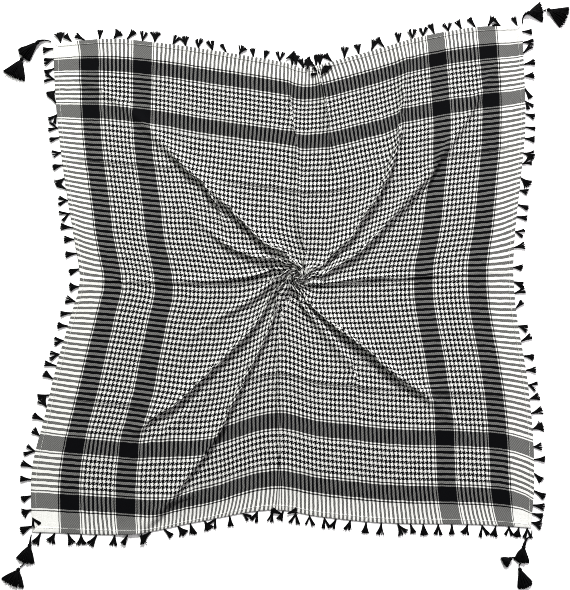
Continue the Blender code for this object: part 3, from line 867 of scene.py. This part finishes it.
class Surface:
    """Reads the laid cloth at any flat place."""

    def __init__(self, points, us, vs):
        self.points, self.us, self.vs = points, us, vs
        self.normals = grid_normals(points)

    def read(self, grid, u, v):
        i = np.clip(np.searchsorted(self.us, u) - 1, 0, len(self.us) - 2)
        j = np.clip(np.searchsorted(self.vs, v) - 1, 0, len(self.vs) - 2)
        s = ((u - self.us[i]) / (self.us[i + 1] - self.us[i]))[..., None]
        t = ((v - self.vs[j]) / (self.vs[j + 1] - self.vs[j]))[..., None]
        return ((grid[i, j] * (1 - s) + grid[i + 1, j] * s) * (1 - t)
                + (grid[i, j + 1] * (1 - s) + grid[i + 1, j + 1] * s) * t)

    def at(self, u, v, lift=0.0):
        normal = self.read(self.normals, u, v)
        return self.read(self.points, u, v) + normal * np.asarray(lift)[..., None]


class Heap:
    """Collects the points and faces of one joined mesh, none of it below the surface."""

    def __init__(self):
        self.points, self.faces, self.count = [], [], 0

    def add(self, points, faces):
        self.points.append(np.asarray(points, float))
        self.faces.extend([tuple(k + self.count for k in face) for face in faces])
        self.count += len(points)

    def object(self, name, material):
        points = np.concatenate(self.points)
        points[:, 2] = np.maximum(points[:, 2], RESTING_HEIGHT)
        return make_object(name, points, self.faces, material)


def make_object(name, points, faces, material, flat=None):
    mesh = bpy.data.meshes.new(name)
    mesh.from_pydata(np.asarray(points).tolist(), [], [list(map(int, face)) for face in faces])
    mesh.materials.append(material)
    mesh.polygons.foreach_set("use_smooth", np.ones(len(mesh.polygons), bool))
    if flat is not None:
        layer = mesh.uv_layers.new(name="OFBake")
        corner = np.empty(len(mesh.loops), int)
        mesh.loops.foreach_get("vertex_index", corner)
        share = (flat + np.array((HALF_U, HALF_V))) / np.array(FLAT_SIZE)
        layer.data.foreach_set("uv", share[corner].astype(np.float32).ravel())
    piece = bpy.data.objects.new(name, mesh)
    bpy.context.collection.objects.link(piece)
    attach(piece, "root")
    return piece


def quads(rows, columns, offset=0, flip=False):
    """Faces of a grid of points, rows by columns."""
    i, j = np.meshgrid(np.arange(rows - 1), np.arange(columns - 1), indexing="ij")
    a = (offset + i * columns + j).ravel()
    around = (a, a + columns, a + columns + 1, a + 1)
    return np.stack(around[::-1] if flip else around, 1)


def make_cloth(points, us, vs, weave):
    nu, nv = len(us), len(vs)
    normals = grid_normals(points)
    top = points + normals * CLOTH_THICK / 2
    under = points - normals * CLOTH_THICK / 2
    under[..., 2] = np.maximum(under[..., 2], RESTING_HEIGHT)
    rim = [i * nv for i in range(nu)] + [(nu - 1) * nv + j for j in range(1, nv)]
    rim += [i * nv + nv - 1 for i in range(nu - 2, -1, -1)] + list(range(nv - 2, 0, -1))
    rim = np.array(rim)
    ahead = np.roll(rim, -1)
    edge = np.stack([rim, rim + nu * nv, ahead + nu * nv, ahead], 1)
    faces = np.concatenate([quads(nu, nv), quads(nu, nv, nu * nv, flip=True), edge])
    flat = np.stack(np.meshgrid(us, vs, indexing="ij"), -1).reshape(-1, 2)
    return make_object("cloth_sheet", np.concatenate([top.reshape(-1, 3), under.reshape(-1, 3)]),
                       faces, weave, np.concatenate([flat, flat]))


def hem_place(side, along, inward):
    """Flat place at a share of a side (0 to 1, against the clock) and a distance in from it."""
    reach_u, reach_v = HALF_U - inward, HALF_V - inward
    turn = 1 - 2 * along
    return ((reach_u * turn, reach_v + 0 * turn), (-reach_u + 0 * turn, reach_v * turn),
            (-reach_u * turn, -reach_v + 0 * turn), (reach_u + 0 * turn, -reach_v * turn))[side]


# A hem's section, from its inner edge on the face, round the outer edge, to the underside:
# (distance in from the edge, height as a share of half its thickness).
HEM_SECTION = ((1.00, 0.62), (0.97, 0.95), (0.75, 1.00), (0.45, 1.05), (0.15, 1.00), (0.02, 0.62),
               (0.00, 0.00), (0.02, -0.62), (0.15, -1.00), (0.60, -1.00), (1.00, -0.90))
HEM_STEPS = 400


def make_hem(side, surface, weave):
    """The turned hem of one side: a folded strip round the edge of the cloth, a little puckered."""
    along = np.linspace(0, 1, HEM_STEPS)[:, None]
    section = np.array(HEM_SECTION)
    inward = section[None, :, 0] * HEM_WIDTH
    u, v = hem_place(side, along, inward)
    length = along * FLAT_SIZE[side % 2]
    pucker = (np.sin(length * 370 + 2.0 * np.sin(length * 57 + side)) * 0.5
              + np.sin(length * 233 + side * 1.7) * 0.5)
    lift = section[None, :, 1] * HEM_THICK / 2 * np.ones_like(along)
    lift = lift + np.where(section[None, :, 1] > 0, 0.00022 * pucker * section[None, :, 0], 0.0)
    points = surface.at(u, v, lift)
    points[..., 2] = np.maximum(points[..., 2], RESTING_HEIGHT)
    n, m = points.shape[:2]
    faces = list(quads(n, m))
    closing = [(i * m + m - 1, (i + 1) * m + m - 1, (i + 1) * m, i * m) for i in range(n - 1)]
    caps = [tuple(range(m)), tuple(range((n - 1) * m, n * m))[::-1]]
    flat = np.stack([u, v], -1).reshape(-1, 2)
    piece = make_object(f"hem_strip_{SIDES[side]}", points.reshape(-1, 3), faces + closing + caps,
                        weave, flat)
    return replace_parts(piece, f"hem_{SIDES[side]}")


def band_faces(bands, sides, start=0):
    """Faces of bands between rings of points that follow one another from start."""
    faces = []
    for i in range(bands):
        for k in range(sides):
            a, b = start + i * sides + k, start + i * sides + (k + 1) % sides
            faces.append((a, b, b + sides, a + sides))
    return faces


def tube(points, radii, sides):
    """Points and faces of a round tube with closed ends, through points that run level or nearly."""
    points = np.asarray(points, float)
    along = np.gradient(points, axis=0)
    along /= np.linalg.norm(along, axis=1, keepdims=True) + 1e-12
    level = np.cross(along, (0.0, 0.0, 1.0))
    level /= np.linalg.norm(level, axis=1, keepdims=True) + 1e-12
    upright = np.cross(level, along)
    turn = np.arange(sides) * 2 * np.pi / sides
    radii = np.broadcast_to(radii, len(points))
    ring = (level[:, None] * np.cos(turn)[None, :, None]
            + upright[:, None] * np.sin(turn)[None, :, None]) * radii[:, None, None]
    around = (points[:, None] + ring).reshape(-1, 3)
    faces = band_faces(len(points) - 1, sides)
    faces.append(tuple(range(sides))[::-1])
    faces.append(tuple(range((len(points) - 1) * sides, len(points) * sides)))
    return around, faces


STITCH_LENGTH = 0.0026
STITCH_PITCH = 0.0034
STITCH_RADIUS = 0.00034


def make_stitches(side, surface, thread):
    """The row of stitches that holds a hem down."""
    heap = Heap()
    inset = HEM_WIDTH * 0.84
    span = FLAT_SIZE[side % 2] - 2 * inset
    for start in np.arange(STITCH_PITCH, span - STITCH_PITCH, STITCH_PITCH):
        place = start + np.array((0.0, 0.25, 0.75, 1.0)) * STITCH_LENGTH * draws.uniform(0.9, 1.05)
        drift = inset + draws.normal(0, 0.00012)
        u, v = hem_place(side, place / span, drift)
        lift = HEM_THICK / 2 + np.array((-0.0002, 0.00022, 0.00022, -0.0002))
        heap.add(*tube(surface.at(u, v, lift), STITCH_RADIUS, 5))
    return heap.object(f"hem_stitches_{SIDES[side]}", thread)


# ---------------------------------------------------------------- tassels

def strand(start, heading, length, bend, low, high, steps=5):
    """A strand that leaves start at a bearing, bends evenly and comes down from high to low."""
    t = np.linspace(0, 1, steps + 1)
    angle = heading + bend * t
    step = length / steps
    x = start[0] + np.r_[0, np.cumsum(np.cos(angle[:-1]) * step)]
    y = start[1] + np.r_[0, np.cumsum(np.sin(angle[:-1]) * step)]
    z = high + (low - high) * ease(t, 0, 0.8)
    return np.stack([x, y, z], 1)


def add_ball(heap, centre, radii, heading, rings=5, sides=8):
    """A closed ball, long in the direction of heading."""
    c, s = math.cos(heading), math.sin(heading)
    points = [(-1.0, 0.0, 0.0)]
    for i in range(1, rings):
        angle = math.pi * i / rings
        for k in range(sides):
            turn = 2 * math.pi * k / sides
            points.append((-math.cos(angle), math.sin(angle) * math.cos(turn),
                           math.sin(angle) * math.sin(turn)))
    points.append((1.0, 0.0, 0.0))
    points = np.array(points) * radii
    placed = np.stack([centre[0] + points[:, 0] * c - points[:, 1] * s,
                       centre[1] + points[:, 0] * s + points[:, 1] * c,
                       centre[2] + points[:, 2]], 1)
    faces = [(0, 1 + (k + 1) % sides, 1 + k) for k in range(sides)]
    faces += band_faces(rings - 2, sides, 1)
    last = 1 + (rings - 2) * sides
    faces += [(last + k, last + (k + 1) % sides, len(points) - 1) for k in range(sides)]
    heap.add(placed, faces)


def facing(heading):
    """Level directions ahead and to the left at a heading."""
    c, s = math.cos(heading), math.sin(heading)
    return np.array((c, s, 0.0)), np.array((-s, c, 0.0))


def add_ring(heap, centre, radius, thick, heading, turns=12, sides=5):
    """A loop of yarn round something that runs in the direction of heading."""
    front, side = facing(heading)
    up = np.array((0.0, 0.0, 1.0))
    points = []
    for k in range(turns):
        out = side * math.cos(2 * math.pi * k / turns) + up * math.sin(2 * math.pi * k / turns)
        for m in range(sides):
            turn = 2 * math.pi * m / sides
            points.append(centre + out * (radius + thick * math.cos(turn))
                          + front * thick * math.sin(turn))
    faces = [tuple(p % len(points) for p in face) for face in band_faces(turns, sides)]
    heap.add(points, faces)


EDGE_TASSELS = 37
TASSEL_LENGTH = 0.0245
KNOT_RADIUS = 0.0017
STRAND_RADIUS = 0.00090


def add_bunch(heap, start, heading, length, spread_angle, count, lift):
    """Strands of yarn that leave one knot and open out a little towards their ends."""
    side = facing(heading)[1]
    for _ in range(count):
        share = draws.uniform(-1, 1)
        begin = start[:2] + side[:2] * share * 0.0012
        path = strand(begin, heading + share * spread_angle * 0.35,
                      length * draws.uniform(0.93, 1.03),
                      share * spread_angle * 0.9 + draws.normal(0, 0.05),
                      max(0.0006, start[2] - 0.0020) + draws.uniform(0, 0.0022) + lift,
                      start[2] + draws.normal(0, 0.0003))
        heap.add(*tube(path, np.array((1.0, 1.0, 1.0, 1.0, 0.95, 0.6)) * STRAND_RADIUS, 4))


def add_edge_tassel(heap, edge, heading, lift=0.0):
    """A small tassel knotted into the hem: one bunch, or two that part."""
    start = np.array((edge[0], edge[1], edge[2] + lift))
    away = facing(heading)[0]
    knot = start + away * KNOT_RADIUS * 0.8
    add_ball(heap, knot, np.array((1.25, 1.0, 0.85)) * KNOT_RADIUS, heading)
    add_ring(heap, knot + away * 0.0014, KNOT_RADIUS * 0.75, 0.00045, heading, 9, 4)
    begin = knot + away * 0.0012
    kind = draws.uniform()
    length = TASSEL_LENGTH * draws.uniform(0.8, 1.05)
    if kind < 0.45:
        add_bunch(heap, begin, heading, length, draws.uniform(0.30, 0.56), 25, lift)
    elif kind < 0.85:
        part = draws.uniform(0.18, 0.50)
        add_bunch(heap, begin, heading + part, length * draws.uniform(0.8, 1.0), 0.22, 13, lift)
        add_bunch(heap, begin, heading - part, length * draws.uniform(0.8, 1.0), 0.22, 13, lift)
    else:
        add_bunch(heap, begin, heading, length, 0.80, 30, lift)


# Tassels that have flipped over onto the cloth: place of the knot, height, and heading.
LOOSE_TASSELS = {
    "top": ((0.010, 0.502, 0.0040, 95.0), (0.036, 0.492, 0.0045, 80.0), (0.068, 0.478, 0.0045, 55.0),
            (0.066, 0.482, 0.0045, 165.0), (0.095, 0.500, 0.0040, 205.0), (-0.014, 0.518, 0.0030, 30.0)),
    "left": ((-0.580, -0.541, 0.0030, -62.0),),
    "bottom": ((-0.022, -0.533, 0.0030, 160.0), (-0.010, -0.532, 0.0030, 20.0)),
}


def make_fringe(side, surface, yarn):
    """The row of small tassels along one side."""
    heap = Heap()
    shares = (np.arange(EDGE_TASSELS) + 0.5) / EDGE_TASSELS
    shares = shares + draws.normal(0, 0.0022, EDGE_TASSELS)
    for share in shares:
        u, v = hem_place(side, np.array([share - 0.001, share, share + 0.001]), 0.0)
        near = surface.at(u, v, np.zeros(3))
        along = near[2] - near[0]
        outward = math.atan2(-along[0], along[1])
        add_edge_tassel(heap, near[1] + np.array((0, 0, 0.0004)),
                        outward + draws.normal(0, 0.38))
    for x, y, z, heading in LOOSE_TASSELS.get(SIDES[side], ()):
        add_edge_tassel(heap, (x, y, z), math.radians(heading))
    piece = heap.object(f"tassel_row_{SIDES[side]}", yarn)
    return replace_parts(piece, f"fringe_{SIDES[side]}")


def smooth_path(points, step=0.0012):
    """Evenly spaced points on a smooth curve through the given ones."""
    points = np.array(points, float)
    gone = np.r_[0, np.cumsum(np.linalg.norm(np.diff(points, axis=0), axis=1))]
    places = np.linspace(0, gone[-1], int(gone[-1] / step) + 2)
    columns = [smooth_table(tuple(zip(gone, points[:, k])), places) for k in range(points.shape[1])]
    return np.stack(columns, 1)


def beside(path):
    """Level directions across a path, one at each of its points."""
    along = np.gradient(path, axis=0)
    along /= np.linalg.norm(along, axis=1, keepdims=True)
    return np.cross(along, (0.0, 0.0, 1.0))


def make_cord(name, route, yarn, nodes):
    """A cord of three twisted plies that lies along the route."""
    centre_height = CORD_LIFT + CORD_DIAMETER / 2
    path = smooth_path([(x, y, centre_height) for x, y in route])
    level = beside(path)
    gone = np.r_[0, np.cumsum(np.linalg.norm(np.diff(path, axis=0), axis=1))]
    heap = Heap()
    ply = CORD_DIAMETER * 0.27
    for k in range(3):
        turn = gone / (CORD_DIAMETER * 3.0) * 2 * np.pi + k * 2 * np.pi / 3
        off = (level * np.cos(turn)[:, None] + np.array((0, 0, 1.0)) * np.sin(turn)[:, None])
        heap.add(*tube(path + off * (CORD_DIAMETER / 2 - ply), ply, 6))
    piece = heap.object(name, yarn)
    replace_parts(piece, *nodes)
    return piece


TASSEL_HEAD_HALF = 0.0036
TASSEL_CENTRE = 0.0042
CORNER_STRANDS = 150
SKIRT_SPREAD = 1.15


def add_stem(heap, route):
    """Yarn bound round the end of a cord, thicker towards the tassel's head."""
    path = smooth_path([(x, y, 0.0) for x, y in route])
    path = path[int(len(path) * 0.35):]
    t = np.linspace(0, 1, len(path))
    girth = CORD_DIAMETER / 2 + (TASSEL_HEAD_HALF * 0.92 - CORD_DIAMETER / 2) * t**1.3
    cord_centre = CORD_LIFT + CORD_DIAMETER / 2
    path[:, 2] = cord_centre + (TASSEL_CENTRE - cord_centre) * t**1.3
    level = beside(path)
    for k in range(7):
        turn = 2 * math.pi * k / 7 + 9.0 * t
        off = level * np.cos(turn)[:, None] + np.array((0, 0, 1.0)) * np.sin(turn)[:, None]
        heap.add(*tube(path + off * (girth * 0.62)[:, None], girth * 0.42, 6))


def make_corner_tassel(name, head, end, half_width, stem, yarn):
    """A tassel that lies on its side: a wrapped head, a bound neck and a skirt of strands."""
    heap = Heap()
    if stem:
        add_stem(heap, stem)
    head, end = np.array(head), np.array(end)
    length = np.linalg.norm(end - head)
    heading = math.atan2(end[1] - head[1], end[0] - head[0])
    front, side = facing(heading)
    origin = np.array((head[0], head[1], TASSEL_CENTRE))
    head_length = 0.17 * length
    add_ball(heap, origin + front * head_length * 0.55,
             np.array((head_length * 0.6, TASSEL_HEAD_HALF, TASSEL_HEAD_HALF * 0.95)), heading, 8, 14)
    # Strands folded over the head.
    for k in range(26):
        turn = 2 * math.pi * k / 26
        t = np.linspace(0.04, 1.0, 8)
        out = TASSEL_HEAD_HALF * np.sin(np.pi * np.clip(t * 0.86, 0, 1)) ** 0.6
        path = (origin + front * (t * head_length)[:, None]
                + side * (out * math.cos(turn))[:, None]
                + np.array((0, 0, 0.95)) * (out * math.sin(turn))[:, None])
        heap.add(*tube(path, STRAND_RADIUS * 0.9, 4))
    neck = origin + front * head_length
    for k in range(4):
        add_ring(heap, neck + front * (k - 1.5) * 0.0009, TASSEL_HEAD_HALF * 0.72, 0.0006, heading, 14)
    for _ in range(CORNER_STRANDS):
        share = draws.uniform(-1, 1)
        layer = draws.uniform(0, 1)
        t = np.linspace(0, 1, 8)
        skirt = length - head_length
        reach = skirt * draws.uniform(0.88, 1.03) * (1 - 0.10 * share**2)
        wide = (0.0024 + (half_width * SKIRT_SPREAD - 0.0024) * t**0.9) * share
        wide = wide + 0.0012 * np.sin(t * draws.uniform(2, 6) + draws.uniform(0, 6)) * t
        tall = 0.0008 + (0.0075 * (1 - 0.75 * share**2)) * layer
        z = TASSEL_CENTRE + (tall - TASSEL_CENTRE) * ease(t, 0, 0.45)
        z = z - (tall - 0.0008) * 0.45 * t**2
        z = z + (layer - 0.5) * 0.003 * (1 - t)
        path = (neck * np.array((1, 1, 0)) + front * (t * reach)[:, None]
                + side * wide[:, None] + np.array((0, 0, 1.0)) * z[:, None])
        heap.add(*tube(path, np.array((1, 1, 1, 1, 1, 1, 0.95, 0.6)) * STRAND_RADIUS * 1.15, 4))
    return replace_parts(heap.object(f"{name}_yarn", yarn), name)


def make_corners(yarn):
    for corner in CORNER_NAMES:
        first, last = CORNER_CORDS[corner]
        tassels = [make_corner_tassel(f"tassel_{corner}_{k}", *row, first if k == 1 else None, yarn)
                   for k, row in enumerate(CORNER_TASSELS[corner], 1)]
        inner = CORNER_TASSELS[corner][0]
        route = first + (inner[0], inner[1]) + last
        nodes = [f"cord_{corner}_a", f"cord_{corner}_b"]
        make_cord(f"corner_cord_{corner}", route, yarn, nodes)
        if corner in SIDE_LINKS:
            make_cord(f"side_cord_{corner}", SIDE_LINKS[corner], yarn,
                      [f"cord_{corner}_c"])


# ---------------------------------------------------------------- the whole scarf

def make_floor():
    size = 4.0
    mesh = bpy.data.meshes.new("floor")
    mesh.from_pydata([(-size, -size, 0), (size, -size, 0), (size, size, 0), (-size, size, 0)], [],
                     [(0, 1, 2, 3)])
    mesh.materials.append(make_floor_material())
    floor = bpy.data.objects.new("floor", mesh)
    bpy.context.collection.objects.link(floor)


make_camera()
make_lights()
make_floor()
tassel_yarn = make_yarn("tassel_yarn", (0.0018, 0.0018, 0.0021, 1.0), (0.0008, 0.0008, 0.0010, 1.0),
                        0.004, 0.05)
sewing_thread = make_yarn("sewing_thread", (0.74, 0.75, 0.71, 1.0), (0.62, 0.63, 0.59, 1.0), 0.05, 0.15)
weave = make_weave()
make_corners(tassel_yarn)

laid, us, vs = lay_cloth()
laid, vs = add_rows(laid, vs)
laid = press_creases(laid, us, vs)
cloth = make_cloth(laid, us, vs, weave)
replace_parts(cloth, "cloth", "twist_knob")
surface = Surface(laid, us, vs)
for side in range(4):
    make_hem(side, surface, weave)
    make_stitches(side, surface, sewing_thread)
    make_fringe(side, surface, tassel_yarn)
